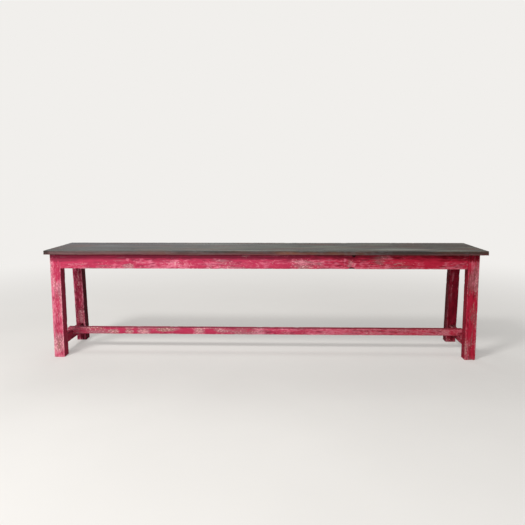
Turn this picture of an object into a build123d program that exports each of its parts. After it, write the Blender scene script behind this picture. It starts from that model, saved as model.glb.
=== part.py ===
from build123d import *
import os
from dataclasses import dataclass

# A long, low bench: one seat plank on a painted, pegged frame. Four square legs stand under it, the
# back pair raked. Aprons and two cross bearers carry the plank, and low stretchers form an H.
#
# Millimetres. +X runs to the bench's right end, +Y to its back, +Z up. The origin is on the floor,
# under the middle of the bench's outline.

# ---- driving dimensions: lengths and widths run along X, depths along Y, heights along Z ----------

BENCH_LENGTH = 1800.0
BENCH_HEIGHT = 453.0

SEAT_DEPTH = 330.0
SEAT_THICKNESS = 17.0
FRONT_OVERHANG = 17.0
BACK_OVERHANG = 21.0

# The bench is hand made, so its two ends differ.
LEFT_OVERHANG = 19.0
LEFT_LEG_WIDTH = 43.0
LEFT_LEG_DEPTH = 48.0
RIGHT_OVERHANG = 29.0
RIGHT_LEG_WIDTH = 45.0
RIGHT_LEG_DEPTH = 45.0

# How far the back feet stand behind the tops of their legs.
BACK_LEG_RAKE = 30.0

APRON_HEIGHT = 59.0
APRON_THICKNESS = 22.0

BEARER_HEIGHT = 38.0
BEARER_WIDTH = 24.0
BEARER_SPACING = 620.0
BEARER_HOUSING = 7.0

END_STRETCHER_CLEARANCE = 45.0
END_STRETCHER_WIDTH = 24.0
LONG_STRETCHER_CLEARANCE = 67.0
LONG_STRETCHER_HEIGHT = 28.0
LONG_STRETCHER_DEPTH = 30.0
LAP_HEIGHT = 15.0

# A tenon is thinner than its rail, its shoulders are cut in above and below it, and a wall of the
# leg is left past its end.
TENON_THICKNESS = 10.0
TENON_SHOULDER = 6.0
LONG_APRON_WALL = 14.0
END_APRON_WALL = 22.0
STRETCHER_WALL = 20.0

PEG_DIAMETER = 8.0
PEG_PAST_TENON = 7.0
APRON_PEG_SPREAD = 24.0

NAIL_LENGTH = 42.0
NAIL_SHANK_DIAMETER = 3.0
NAIL_HEAD_DIAMETER = 8.0
NAIL_HEAD_THICKNESS = 1.5
LAP_NAIL_LENGTH = 34.0
NAILS_PER_APRON = 7
NAIL_TO_LEG = 70.0
BEARER_NAIL_SPREAD = 110.0

# Clearances of the hand-cut joints: beside a tenon or a lap, and past the end of a tenon.
CHEEK_CLEARANCE = 0.1
END_CLEARANCE = 1.5

# ---- places that follow from them -----------------------------------------------------------------

FRAME_TOP = BENCH_HEIGHT - SEAT_THICKNESS
APRON_BOTTOM = FRAME_TOP - APRON_HEIGHT
BEARER_BOTTOM = FRAME_TOP - BEARER_HEIGHT

LONG_STRETCHER_TOP = LONG_STRETCHER_CLEARANCE + LONG_STRETCHER_HEIGHT
END_STRETCHER_TOP = LONG_STRETCHER_CLEARANCE + LAP_HEIGHT
LAP_MIDDLE = LONG_STRETCHER_CLEARANCE + LAP_HEIGHT / 2

# The back feet may stand behind the seat, which moves the seat off the middle of the outline.
FEET_BEHIND_SEAT = max(BACK_LEG_RAKE - BACK_OVERHANG, 0.0)
SEAT_FRONT = -(SEAT_DEPTH + FEET_BEHIND_SEAT) / 2
SEAT_BACK = SEAT_FRONT + SEAT_DEPTH
SEAT_MIDDLE = (SEAT_FRONT + SEAT_BACK) / 2
FRAME_FRONT = SEAT_FRONT + FRONT_OVERHANG
FRAME_BACK = SEAT_BACK - BACK_OVERHANG


@dataclass(frozen=True)
class End:
    """One end of the bench. It is described as if it lay at +X, and side tells where it lies."""

    name: str
    side: int
    overhang: float
    leg_width: float
    leg_depth: float

    @property
    def outer(self) -> float:
        """Where the outward faces of the legs lie."""
        return BENCH_LENGTH / 2 - self.overhang

    @property
    def inner(self) -> float:
        """Where the faces of the legs that look along the bench lie."""
        return self.outer - self.leg_width

    @property
    def middle(self) -> float:
        """The middle of the legs' width."""
        return (self.outer + self.inner) / 2


@dataclass(frozen=True)
class CrossRail:
    """A rail from the front leg to the back leg of one end: an end apron or an end stretcher."""

    middle_x: float
    width: float
    bottom: float
    top: float
    tenon_wall: float

    @property
    def inner(self) -> float:
        """The rail's face that looks along the bench."""
        return self.middle_x - self.width / 2

    @property
    def outer(self) -> float:
        """The rail's outward face."""
        return self.middle_x + self.width / 2

    @property
    def middle_z(self) -> float:
        """The middle of the rail's height."""
        return (self.bottom + self.top) / 2


LEFT = End("left", -1, LEFT_OVERHANG, LEFT_LEG_WIDTH, LEFT_LEG_DEPTH)
RIGHT = End("right", 1, RIGHT_OVERHANG, RIGHT_LEG_WIDTH, RIGHT_LEG_DEPTH)
ENDS = (LEFT, RIGHT)
CORNERS = [(end, is_back) for end in ENDS for is_back in (False, True)]


def end_apron_rail(end):
    """The end apron's place: flush with the outward faces of the legs."""
    middle_x = end.outer - APRON_THICKNESS / 2
    return CrossRail(middle_x, APRON_THICKNESS, APRON_BOTTOM, FRAME_TOP, END_APRON_WALL)


def end_stretcher_rail(end):
    """The end stretcher's place: in the middle of the legs' width."""
    bottom = END_STRETCHER_CLEARANCE
    return CrossRail(end.middle, END_STRETCHER_WIDTH, bottom, END_STRETCHER_TOP, STRETCHER_WALL)


# ---- helpers --------------------------------------------------------------------------------------


def rake_at(height):
    """How far the back frame stands, at this height, behind its place under the seat."""
    return BACK_LEG_RAKE * (FRAME_TOP - height) / FRAME_TOP


def upright(y):
    """A face that stands upright at this Y."""
    return lambda height: y


def raked(y):
    """A face that follows the back legs, and is at this Y under the seat."""
    return lambda height: y + rake_at(height)


def prism(x_low, x_high, front_face, back_face, z_low, z_high):
    """A block between two X limits, two heights, and a front and a back face that may be raked."""
    outline = [
        (front_face(z_low), z_low),
        (back_face(z_low), z_low),
        (back_face(z_high), z_high),
        (front_face(z_high), z_high),
    ]
    return Pos(x_low, 0, 0) * extrude(Plane.YZ * Polygon(*outline, align=None), x_high - x_low)


def block(x_low, x_high, y_low, y_high, z_low, z_high):
    """An upright block between these limits."""
    return prism(x_low, x_high, upright(y_low), upright(y_high), z_low, z_high)


def rod(start, direction, diameter, length):
    """A round rod that runs from start along direction."""
    return extrude(Plane(origin=start, z_dir=direction) * Circle(diameter / 2), length)


def at_end(end, shape):
    """Puts a shape that was made at +X where its end lies."""
    return shape if end.side > 0 else mirror(shape, about=Plane.YZ)


def save(name, solids):
    """Writes one node, which holds one solid or a group of them."""
    shape = solids[0] if len(solids) == 1 else Compound(children=solids)
    shape.label = name
    export_step(shape, os.path.join("parts", name + ".step"))


# ---- joints: tenons and pegs, each made once and used for the piece and for its hole --------------


def long_apron_face(is_back, distance):
    """A face this far inside the front or the back apron's outward face."""
    return raked(FRAME_BACK - distance) if is_back else upright(FRAME_FRONT + distance)


def long_apron_tenon(end, is_back, cheek=0.0, past_end=0.0):
    """The tenon of the front or back apron in a leg, or its mortise with the clearances given."""
    near = long_apron_face(is_back, (APRON_THICKNESS - TENON_THICKNESS) / 2 - cheek)
    far = long_apron_face(is_back, (APRON_THICKNESS + TENON_THICKNESS) / 2 + cheek)
    front, back = (far, near) if is_back else (near, far)
    bottom = APRON_BOTTOM + TENON_SHOULDER - cheek
    top = FRAME_TOP - TENON_SHOULDER + cheek
    return prism(end.inner, end.outer - LONG_APRON_WALL + past_end, front, back, bottom, top)


def cross_rail_tenon(end, rail, is_back, cheek=0.0, past_end=0.0):
    """The tenon of a cross rail in a leg, or its mortise with the clearances given."""
    if is_back:
        front = raked(FRAME_BACK - end.leg_depth)
        back = raked(FRAME_BACK - rail.tenon_wall + past_end)
    else:
        front = upright(FRAME_FRONT + rail.tenon_wall - past_end)
        back = upright(FRAME_FRONT + end.leg_depth)
    half_width = TENON_THICKNESS / 2 + cheek
    bottom = rail.bottom + TENON_SHOULDER - cheek
    top = rail.top - TENON_SHOULDER + cheek
    return prism(rail.middle_x - half_width, rail.middle_x + half_width, front, back, bottom, top)


def leg_blank(end, is_back):
    """A leg before its mortises are cut."""
    if is_back:
        front, back = raked(FRAME_BACK - end.leg_depth), raked(FRAME_BACK)
    else:
        front, back = upright(FRAME_FRONT), upright(FRAME_FRONT + end.leg_depth)
    return prism(end.inner, end.outer, front, back, 0, FRAME_TOP)


def long_apron_pegs(end, is_back):
    """Two pegs from the leg's outward face through the apron's tenon, trimmed flush with the leg."""
    x = (end.inner + end.outer - LONG_APRON_WALL) / 2
    depth = (APRON_THICKNESS + TENON_THICKNESS) / 2 + PEG_PAST_TENON
    pegs = []
    for offset in (-APRON_PEG_SPREAD / 2, APRON_PEG_SPREAD / 2):
        z = (APRON_BOTTOM + FRAME_TOP) / 2 + offset
        tip = long_apron_face(is_back, depth)(z)
        outward = (0, 1, 0) if is_back else (0, -1, 0)
        pegs.append(rod((x, tip, z), outward, PEG_DIAMETER, 2 * depth) & leg_blank(end, is_back))
    return pegs


def cross_rail_peg(end, rail, is_back):
    """A peg from the leg's outward face through a cross rail's tenon."""
    if is_back:
        y = FRAME_BACK - (end.leg_depth + rail.tenon_wall) / 2 + rake_at(rail.middle_z)
    else:
        y = FRAME_FRONT + (end.leg_depth + rail.tenon_wall) / 2
    tip_x = rail.middle_x - TENON_THICKNESS / 2 - PEG_PAST_TENON
    return rod((tip_x, y, rail.middle_z), (1, 0, 0), PEG_DIAMETER, end.outer - tip_x)


def cross_rail_pegs(rail_of):
    """The pegs of one kind of cross rail, at all four corners."""
    return [at_end(end, cross_rail_peg(end, rail_of(end), is_back)) for end, is_back in CORNERS]


def nail(x, y, surface, length):
    """A nail driven down until its round head is flush with the surface."""
    shank = rod((x, y, surface - length), (0, 0, 1), NAIL_SHANK_DIAMETER, length)
    head = rod((x, y, surface - NAIL_HEAD_THICKNESS), (0, 0, 1), NAIL_HEAD_DIAMETER, NAIL_HEAD_THICKNESS)
    return shank + head


def bearer_places():
    """The X of each bearer's middle: two places, spread about the middle of the frame."""
    frame_middle = (RIGHT.inner - LEFT.inner) / 2
    return {"left": frame_middle - BEARER_SPACING / 2, "right": frame_middle + BEARER_SPACING / 2}


def seat_nails():
    """The nails of the seat, in rows over the long aprons, the end aprons and the bearers."""
    first_x = NAIL_TO_LEG - LEFT.inner
    last_x = RIGHT.inner - NAIL_TO_LEG
    step = (last_x - first_x) / (NAILS_PER_APRON - 1)
    apron_rows = (FRAME_FRONT + APRON_THICKNESS / 2, FRAME_BACK - APRON_THICKNESS / 2)
    places = [(first_x + i * step, y) for y in apron_rows for i in range(NAILS_PER_APRON)]
    places += [(end.side * end_apron_rail(end).middle_x, SEAT_MIDDLE) for end in ENDS]
    for x in bearer_places().values():
        places += [(x, SEAT_MIDDLE - BEARER_NAIL_SPREAD / 2), (x, SEAT_MIDDLE + BEARER_NAIL_SPREAD / 2)]
    return [nail(x, y, BENCH_HEIGHT, NAIL_LENGTH) for x, y in places]


def lap_nail(end):
    """The nail that holds one lap of the long stretcher."""
    return nail(end.side * end.middle, SEAT_MIDDLE, LONG_STRETCHER_TOP, LAP_NAIL_LENGTH)


# ---- pieces ---------------------------------------------------------------------------------------


def leg(end, is_back):
    """A leg with its three mortises and its peg holes."""
    shape = leg_blank(end, is_back)
    shape -= long_apron_tenon(end, is_back, CHEEK_CLEARANCE, END_CLEARANCE)
    for rail in (end_apron_rail(end), end_stretcher_rail(end)):
        shape -= cross_rail_tenon(end, rail, is_back, CHEEK_CLEARANCE, END_CLEARANCE)
        shape -= cross_rail_peg(end, rail, is_back)
    for peg in long_apron_pegs(end, is_back):
        shape -= peg
    return at_end(end, shape)


def bearer(x, cheek=0.0):
    """A cross bearer, which both long aprons house, or its housings with the clearance given."""
    half_width = BEARER_WIDTH / 2 + cheek
    front = long_apron_face(False, APRON_THICKNESS - BEARER_HOUSING - cheek)
    back = long_apron_face(True, APRON_THICKNESS - BEARER_HOUSING - cheek)
    return prism(x - half_width, x + half_width, front, back, BEARER_BOTTOM, FRAME_TOP)


def long_apron(is_back):
    """The front or back apron, with a tenon at each end and a housing for each bearer."""
    outward, inward = long_apron_face(is_back, 0.0), long_apron_face(is_back, APRON_THICKNESS)
    front, back = (inward, outward) if is_back else (outward, inward)
    shape = prism(-LEFT.inner, RIGHT.inner, front, back, APRON_BOTTOM, FRAME_TOP)
    for end in ENDS:
        tenon = long_apron_tenon(end, is_back)
        for peg in long_apron_pegs(end, is_back):
            tenon -= peg
        shape += at_end(end, tenon)
    for x in bearer_places().values():
        shape -= bearer(x, CHEEK_CLEARANCE)
    return shape


def cross_rail(end, rail):
    """A cross rail with a tenon at each end, its back shoulder cut to the rake of the back leg."""
    front = upright(FRAME_FRONT + end.leg_depth)
    back = raked(FRAME_BACK - end.leg_depth)
    shape = prism(rail.inner, rail.outer, front, back, rail.bottom, rail.top)
    for is_back in (False, True):
        shape += cross_rail_tenon(end, rail, is_back) - cross_rail_peg(end, rail, is_back)
    return at_end(end, shape)


def end_stretcher(end):
    """An end stretcher, notched on top for the long stretcher."""
    rail = end_stretcher_rail(end)
    y_low = SEAT_MIDDLE - LONG_STRETCHER_DEPTH / 2 - CHEEK_CLEARANCE
    y_high = SEAT_MIDDLE + LONG_STRETCHER_DEPTH / 2 + CHEEK_CLEARANCE
    notch = block(rail.inner, rail.outer, y_low, y_high, LAP_MIDDLE, END_STRETCHER_TOP)
    return cross_rail(end, rail) - at_end(end, notch)


def long_stretcher():
    """The long stretcher, notched underneath where it laps over each end stretcher."""
    left_rail, right_rail = end_stretcher_rail(LEFT), end_stretcher_rail(RIGHT)
    y_low = SEAT_MIDDLE - LONG_STRETCHER_DEPTH / 2
    y_high = SEAT_MIDDLE + LONG_STRETCHER_DEPTH / 2
    bottom = LONG_STRETCHER_CLEARANCE
    shape = block(-left_rail.outer, right_rail.outer, y_low, y_high, bottom, LONG_STRETCHER_TOP)
    for end, rail in ((LEFT, left_rail), (RIGHT, right_rail)):
        shoulder = rail.inner - CHEEK_CLEARANCE
        shape -= at_end(end, block(shoulder, rail.outer, y_low, y_high, bottom, LAP_MIDDLE))
    return shape


def seat_plank():
    """The seat, before its nail holes."""
    half_length = BENCH_LENGTH / 2
    return block(-half_length, half_length, SEAT_FRONT, SEAT_BACK, FRAME_TOP, BENCH_HEIGHT)


def without(shape, cutters):
    """The shape with each cutter that reaches it taken away."""
    for cutter in cutters:
        shape -= cutter
    return shape


def main():
    """Builds every piece and writes it to its own file."""
    os.makedirs("parts", exist_ok=True)
    nails = seat_nails()
    lap_nails = [lap_nail(end) for end in ENDS]

    save("seat_plank", [without(seat_plank(), nails)])
    save("seat_nails", nails)
    for row, is_back in (("front", False), ("back", True)):
        save(f"{row}_apron", [without(long_apron(is_back), nails)])
        for end in ENDS:
            save(f"{row}_{end.name}_leg", [leg(end, is_back)])
    for name, x in bearer_places().items():
        save(f"{name}_bearer", [without(bearer(x), nails)])
    for end, fixing in zip(ENDS, lap_nails):
        save(f"{end.name}_end_apron", [without(cross_rail(end, end_apron_rail(end)), nails)])
        save(f"{end.name}_end_stretcher", [end_stretcher(end) - fixing])
    save("long_stretcher", [without(long_stretcher(), lap_nails)])
    save("lap_nails", lap_nails)

    apron_pegs = [at_end(end, peg) for end, is_back in CORNERS for peg in long_apron_pegs(end, is_back)]
    save("long_apron_pegs", apron_pegs)
    save("end_apron_pegs", cross_rail_pegs(end_apron_rail))
    save("stretcher_pegs", cross_rail_pegs(end_stretcher_rail))


main()
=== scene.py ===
"""A long, worn country bench: one dark seat plank on a crimson-painted, pegged frame.

Lengths are in metres. +X runs to the bench's right end, +Y to its back and +Z up, and the origin is
on the floor under the middle of the bench.
"""

import logging
import math
from collections.abc import Sequence
from dataclasses import asdict, dataclass, field
from enum import Enum
from functools import reduce
from typing import Any

import bpy
import numpy as np
from bpy.types import ID, Material, Mesh, Node, NodeSocket, NodeTree, Object
from mathutils import Matrix, Vector


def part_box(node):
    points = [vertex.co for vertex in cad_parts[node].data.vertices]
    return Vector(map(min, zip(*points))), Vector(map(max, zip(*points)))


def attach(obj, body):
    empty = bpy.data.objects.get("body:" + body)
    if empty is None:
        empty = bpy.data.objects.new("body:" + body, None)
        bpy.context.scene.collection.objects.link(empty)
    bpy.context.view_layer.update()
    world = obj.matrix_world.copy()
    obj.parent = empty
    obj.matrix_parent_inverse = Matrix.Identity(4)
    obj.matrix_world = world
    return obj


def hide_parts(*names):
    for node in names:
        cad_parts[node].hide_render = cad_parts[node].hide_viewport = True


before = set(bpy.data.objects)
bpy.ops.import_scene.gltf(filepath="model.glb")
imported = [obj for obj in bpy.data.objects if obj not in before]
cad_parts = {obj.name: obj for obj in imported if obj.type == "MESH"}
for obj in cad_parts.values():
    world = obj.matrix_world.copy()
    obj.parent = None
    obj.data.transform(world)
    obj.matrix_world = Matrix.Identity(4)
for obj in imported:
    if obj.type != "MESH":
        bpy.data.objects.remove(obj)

LOG = logging.getLogger("bench")
BODY = "root"
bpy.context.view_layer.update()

Point = tuple[float, float, float]
Pair = tuple[str, str]
Span = tuple[float, float]
Spots = tuple[tuple[float, ...], ...]


# ---- the bench's sizes ----

FEET_RAKE = 0.030
APRON_THICKNESS = 0.022
TENON_THICKNESS = 0.010
TENON_SHOULDER = 0.006
LONG_APRON_WALL = 0.014
END_APRON_WALL = 0.022
STRETCHER_WALL = 0.020
HOUSING_DEPTH = 0.007
CHEEK_CLEARANCE = 0.0001
END_CLEARANCE = 0.0015
LAP_BOTTOM = 0.0745
PEG_RADIUS = 0.004
PEG_PAST_TENON = 0.007
PEG_SPREAD = 0.024
RAIL_TAKE_UP = 0.05

FRAME_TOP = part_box("front_left_leg")[1].z
APRON_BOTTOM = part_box("front_apron")[0].z
FRAME_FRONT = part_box("front_left_leg")[0].y
FRAME_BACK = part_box("back_left_leg")[1].y - FEET_RAKE

# A board's mesh.
RIM = (0.0, 0.0005, 0.0012, 0.0022, 0.0036)  # its rows of points next to each end
ALONG_GRAIN = 1.6  # how much longer its steps are along the grain
NEAREST_ROW = 0.0004  # the nearest that a row lies to a cut
SAME_PLACE = 1e-5  # how far apart two places have to be to count as two

# How a board wears.
SLOPE_DEPTH = 0.007  # the depth below a face at which wear moves straight inwards
CHIP_REACH = 0.009  # how far chips reach from an arris
CRISP_ARRIS = 0.03  # how far from an arris the finish takes a crisp one to be
JOINT_RIM = 0.006  # how far past a joint its arrises stay crisp
SPOT_THROUGH = 0.008  # how far a spot reaches through its face
DENT_RISE = 2.0  # how steeply a spot's depth rises from its rim
SHADE_RISE = 1.6  # how steeply a spot's bareness and paleness rise from its rim
RUN_ON = 0.1  # how far the arrises of a tenoned rail run on past its ends
TREE_SHIFT = 3.7  # how far apart the boards lie along their tree

# A peg or a nail.
RINGS_DOWN = (0.17, 0.5, 0.83)  # how its rings of points share out its length
NECK = 0.0004  # the slope under its head
CROWN_POWER = 2.5  # how its crown falls off
FIXING_ARRIS = 0.006  # how far from an arris the finish takes it to be

# The places along Y between which a board takes up the rake of the back legs.
UPRIGHT = (9.0, 10.0)
LEANING = (-2.0, -1.0)

# Each board's number along its tree, and the number that turns each set of fixings.
SEEDS = {
    "seat_plank": 1,
    "front_left_leg": 3,
    "front_right_leg": 4,
    "back_left_leg": 6,
    "back_right_leg": 7,
    "front_apron": 10,
    "back_apron": 11,
    "left_end_apron": 12,
    "right_end_apron": 13,
    "left_end_stretcher": 15,
    "right_end_stretcher": 16,
    "long_stretcher": 18,
    "left_bearer": 20,
    "right_bearer": 21,
    "long_apron_pegs": 4,
    "end_apron_pegs": 5,
    "stretcher_pegs": 6,
    "lap_nails": 7,
    "seat_nails": 8,
}


# ---- named options ----


class Axis(Enum):
    """The frame's axis that something runs along."""

    X = 0
    Y = 1
    Z = 2


class Shape(Enum):
    """The kinds of node tree that the writer makes."""

    GEOMETRY = "GeometryNodeTree"
    SHADER = "ShaderNodeTree"


class Slot(Enum):
    """The record's material slots, each with a finish of its own."""

    RED_PAINT = "red_paint"
    DARK_WOOD = "dark_wood"
    BARE_WOOD = "bare_wood"
    IRON = "iron"


class Mark(Enum):
    """The attributes that a mesh carries for its shape and its finish."""

    GRAIN_AT = "grain_at"
    LEAN = "lean"
    CRISP = "crisp"
    SCAR = "scar"
    BARE = "bare"
    PALE = "pale"
    ARRIS = "arris"
    CHIP = "chip"
    AIM = "aim"


def hue(code: str) -> tuple[float, float, float, float]:
    """Turns a colour code into the linear colour that shaders use.

    Args:
        code: Six hexadecimal digits, two each for red, green and blue, as picked on a screen.

    Returns:
        The linear red, green and blue, and an alpha of one.
    """
    parts = [int(code[i : i + 2], 16) / 255 for i in (0, 2, 4)]
    linear = [((c + 0.055) / 1.055) ** 2.4 if c > 0.04045 else c / 12.92 for c in parts]
    return (linear[0], linear[1], linear[2], 1.0)


def label_of(name: str) -> str:
    """The label of a tree's input or output that goes by a name in the script."""
    return name.replace("_", " ").capitalize()


# ---- writing node trees ----


class Value:
    """A node's output. Sums are written on it as on a number or a vector, and each adds a node."""

    def __init__(self, writer: "NodeWriter", socket: NodeSocket) -> None:
        """Keeps the output and the writer of its tree."""
        self.writer = writer
        self.socket = socket

    def __add__(self, other: "Term") -> "Value":
        """This value with another added."""
        return self.writer.calc("ADD", self, other)

    def __sub__(self, other: "Term") -> "Value":
        """This value less another."""
        return self.writer.calc("SUBTRACT", self, other)

    def __rsub__(self, other: "Term") -> "Value":
        """Another value less this one."""
        return self.writer.calc("SUBTRACT", other, self)

    def __mul__(self, other: "Term") -> "Value":
        """This value times another. A plain value makes a vector longer or shorter."""
        return self.writer.calc("MULTIPLY", self, other)

    def __truediv__(self, other: "Term") -> "Value":
        """This value shared out by another."""
        return self.writer.calc("DIVIDE", self, other)


Term = Value | float | str | tuple
Inputs = dict[str | int, Term]


def is_vector(term: Term) -> bool:
    """Whether a term of a sum is a vector."""
    return term.socket.type == "VECTOR" if isinstance(term, Value) else isinstance(term, tuple)


class NodeWriter:
    """Adds nodes to a tree and links them, so that a tree reads as a list of sums and textures."""

    def __init__(self, tree: NodeTree) -> None:
        """Keeps the tree that the nodes go to."""
        self.tree = tree

    def feed(self, socket: NodeSocket, value: Term) -> None:
        """Links a socket to another node's output, or sets the socket's own value.

        Args:
            socket: The input to feed.
            value: An output, a colour code for a socket that takes a colour, or the plain value.
        """
        if isinstance(value, Value):
            self.tree.links.new(value.socket, socket)
        elif socket.type == "RGBA":
            socket.default_value = hue(value)
        else:
            socket.default_value = value

    def add(self, kind: str, inputs: Inputs | None = None, **settings: Any) -> Node:
        """Adds one node.

        Args:
            kind: Blender's name for the kind of node.
            inputs: The value or output for each input, by name or number.
            **settings: The node's own options.

        Returns:
            The new node.
        """
        node = self.tree.nodes.new(kind)
        for name, value in settings.items():
            setattr(node, name, value)
        for name, value in (inputs or {}).items():
            self.feed(node.inputs[name], value)
        return node

    def outputs(self, node: Node) -> dict[str, Value]:
        """A node's outputs by name."""
        return {socket.name: Value(self, socket) for socket in node.outputs}

    def get(self, kind: str, inputs: Inputs, output: int = 0, **settings: Any) -> Value:
        """Adds one node, as add does, and gives the output of that number."""
        return Value(self, self.add(kind, inputs, **settings).outputs[output])

    def calc(self, operation: str, first: Term, second: Term | None = None) -> Value:
        """One sum, on vectors where its first term is one and on plain values elsewhere.

        Args:
            operation: Blender's name for the sum.
            first: The first term.
            second: The second term, where the sum has one.

        Returns:
            What the sum comes to.
        """
        if is_vector(first) and operation == "MULTIPLY" and not is_vector(second):
            return self.get("ShaderNodeVectorMath", {0: first, "Scale": second}, operation="SCALE")
        kind = "ShaderNodeVectorMath" if is_vector(first) else "ShaderNodeMath"
        terms = {0: first} if second is None else {0: first, 1: second}
        return self.get(kind, terms, operation=operation)

    def least(self, *parts: Value) -> Value:
        """The least of some values, or of each part of some vectors."""
        return reduce(lambda one, other: self.calc("MINIMUM", one, other), parts)

    def most(self, *parts: Value) -> Value:
        """The most of some values, or of each part of some vectors."""
        return reduce(lambda one, other: self.calc("MAXIMUM", one, other), parts)

    def split(self, vector: Value) -> tuple[Value, ...]:
        """The three parts of a vector."""
        return tuple(self.outputs(self.add("ShaderNodeSeparateXYZ", {0: vector})).values())

    def joined(self, x: Term, y: Term, z: Term) -> Value:
        """A vector from its three parts."""
        return self.get("ShaderNodeCombineXYZ", {0: x, 1: y, 2: z})

    def noise(self, where: Value, waves: Point, detail: float = 2.0) -> Value:
        """Cloudy noise between zero and one, with so many waves to the metre along each axis."""
        inputs = {"Vector": where * waves, "Scale": 1.0, "Detail": detail}
        return self.get("ShaderNodeTexNoise", inputs)

    def ramp(
        self, value: Value, low: float, high: float, start: Term = 0.0, end: Term = 1.0
    ) -> Value:
        """A smooth step from start to end while the value goes from low to high."""
        inputs = {"Value": value, "From Min": low, "From Max": high, "To Min": start, "To Max": end}
        return self.get("ShaderNodeMapRange", inputs, interpolation_type="SMOOTHSTEP")

    def blend(self, share: Value, first: Term, second: Term) -> Value:
        """A colour that goes from the first to the second as the share goes from zero to one."""
        return self.get("ShaderNodeMix", {0: share, 6: first, 7: second}, 2, data_type="RGBA")

    def layered(self, colour: Value, *layers: tuple[Value, Term]) -> Value:
        """A colour with others laid over it in order, each by its own share."""
        return reduce(lambda under, layer: self.blend(layer[0], under, layer[1]), layers, colour)

    def between(self, share: Value, first: Term, second: Term) -> Value:
        """A value that goes from the first to the second as the share goes from zero to one."""
        return self.get("ShaderNodeMix", {0: share, 2: first, 3: second}, data_type="FLOAT")

    def marked(self, mark: Mark, kind: str = "FLOAT") -> Value:
        """What a geometry's attribute says at each point."""
        return self.get("GeometryNodeInputNamedAttribute", {"Name": mark.value}, data_type=kind)

    def stored(self, shape: Value, mark: Mark, value: Term, kind: str = "FLOAT") -> Value:
        """A geometry that carries one more attribute."""
        inputs = {"Geometry": shape, "Name": mark.value, "Value": value}
        return self.get("GeometryNodeStoreNamedAttribute", inputs, data_type=kind)


@dataclass(frozen=True)
class Tree:
    """A node tree in the making, with its inputs and the node that takes its results."""

    writer: NodeWriter
    given: dict[str, Value]
    result: Node

    def finished(self, **results: Value) -> NodeTree:
        """Feeds the tree's outputs.

        Args:
            **results: The value of each output.

        Returns:
            The finished tree.
        """
        for name, value in results.items():
            self.writer.feed(self.result.inputs[label_of(name)], value)
        return self.writer.tree

    def finished_piece(self, shape: Value) -> NodeTree:
        """Ends a geometry tree with real meshes and the piece's finish.

        Args:
            shape: The shape that the tree has made.

        Returns:
            The finished tree.
        """
        shape = self.writer.get("GeometryNodeRealizeInstances", {"Geometry": shape})
        dressed = {"Geometry": shape, "Material": self.given["Finish"]}
        return self.finished(geometry=self.writer.get("GeometryNodeSetMaterial", dressed))


def new_tree(name: str, shape: Shape, inputs: dict[str, str], outputs: dict[str, str]) -> Tree:
    """Starts a node tree with named inputs and outputs.

    Args:
        name: The tree's name.
        shape: Whether it makes geometry or a part of a finish.
        inputs: Each input's kind of socket, by label.
        outputs: Each output's kind of socket, by label.

    Returns:
        The tree, with nothing between its inputs and its outputs yet.
    """
    tree = bpy.data.node_groups.new(name, shape.value)
    for way, sockets in (("INPUT", inputs), ("OUTPUT", outputs)):
        for label, kind in sockets.items():
            tree.interface.new_socket(label, in_out=way, socket_type="NodeSocket" + kind)
    writer = NodeWriter(tree)
    given = writer.outputs(writer.add("NodeGroupInput"))
    return Tree(writer, given, writer.add("NodeGroupOutput"))


def numbers(*labels: str) -> dict[str, str]:
    """Inputs or outputs that each are a number."""
    return dict.fromkeys(labels, "Float")


def placed(name: str, data: ID) -> Object:
    """Puts some data in the scene as an object.

    Args:
        name: The object's name.
        data: Its mesh, lamp or camera.

    Returns:
        The new object, at the origin.
    """
    thing = bpy.data.objects.new(name, data)
    bpy.context.scene.collection.objects.link(thing)
    return thing


def grown(
    tree: NodeTree,
    points: Sequence[Point],
    faces: Sequence[Sequence[int]],
    marks: dict[Mark, Any],
    **sizes: Any,
) -> Mesh:
    """Makes a mesh, runs a geometry tree on it and gives the result as a plain mesh.

    Args:
        tree: The geometry tree.
        points: The first mesh's points.
        faces: The numbers of each face's points.
        marks: A number or a vector for each point, by the attribute that keeps it.
        **sizes: The value of each of the tree's named inputs.

    Returns:
        The finished mesh. The first mesh and the modifier are gone.
    """
    start = bpy.data.meshes.new("start")
    start.from_pydata(points, [], faces)
    for mark, values in marks.items():
        table = np.array(values, np.float32)
        kind, part = ("FLOAT_VECTOR", "vector") if table.ndim > 1 else ("FLOAT", "value")
        start.attributes.new(mark.value, kind, "POINT").data.foreach_set(part, table.ravel())
    source = placed("start", start)
    modifier = source.modifiers.new("making", "NODES")
    modifier.node_group = tree
    inputs = [item for item in tree.interface.items_tree if item.in_out == "INPUT"]
    sockets = {item.name: item.identifier for item in inputs}
    for name, value in sizes.items():
        modifier[sockets[label_of(name)]] = value
    depsgraph = bpy.context.evaluated_depsgraph_get()
    mesh = bpy.data.meshes.new_from_object(source.evaluated_get(depsgraph), depsgraph=depsgraph)
    bpy.data.objects.remove(source)
    bpy.data.meshes.remove(start)
    return mesh


# ---- the trees that shape the pieces ----


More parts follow.
